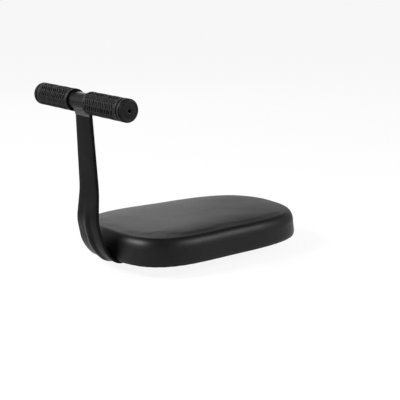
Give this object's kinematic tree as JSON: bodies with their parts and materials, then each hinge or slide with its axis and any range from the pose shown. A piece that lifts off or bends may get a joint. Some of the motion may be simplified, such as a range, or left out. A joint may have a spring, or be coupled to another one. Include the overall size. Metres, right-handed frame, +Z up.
{
  "type": "rear child bike seat",
  "caption": "Padded cushion that clamps on a bicycle's rear rack, with an upright flat-bar handle post, a short cross bar and rubber grips in front.",
  "frame": {"origin": "centre of the cushion's underside, on the plane that the rack's rails bear against", "axes": "+X forward, towards the handle; +Y to the left; +Z up"},
  "size_m": [0.3709, 0.2298, 0.2608],
  "materials": {
    "leather": "soft satin, fine grain",
    "foam": "open-cell foam",
    "plywood": "raw birch plywood",
    "lining": "thin bonded fabric",
    "zinc": "bright zinc plating",
    "black_paint": "satin black powder coat",
    "rubber": "soft matt rubber"
  },
  "bodies": {
    "root": {"board": "plywood", "foam_pad": "foam", "leather_cover": "leather", "underside_lining": "lining", "cover_staples": "zinc", "handle_tee_nuts": "zinc", "clamp_tee_nuts": "zinc", "handle_post": "black_paint", "cross_bar": "black_paint", "weld_bead": "black_paint", "left_grip": "rubber", "right_grip": "rubber", "handle_bolts": "zinc", "handle_flat_washers": "zinc", "handle_spring_washers": "zinc", "front_clamp_plate": "zinc", "rear_clamp_plate": "zinc", "clamp_bolts": "zinc", "clamp_flat_washers": "zinc", "clamp_spring_washers": "zinc"}
  },
  "joints": []
}
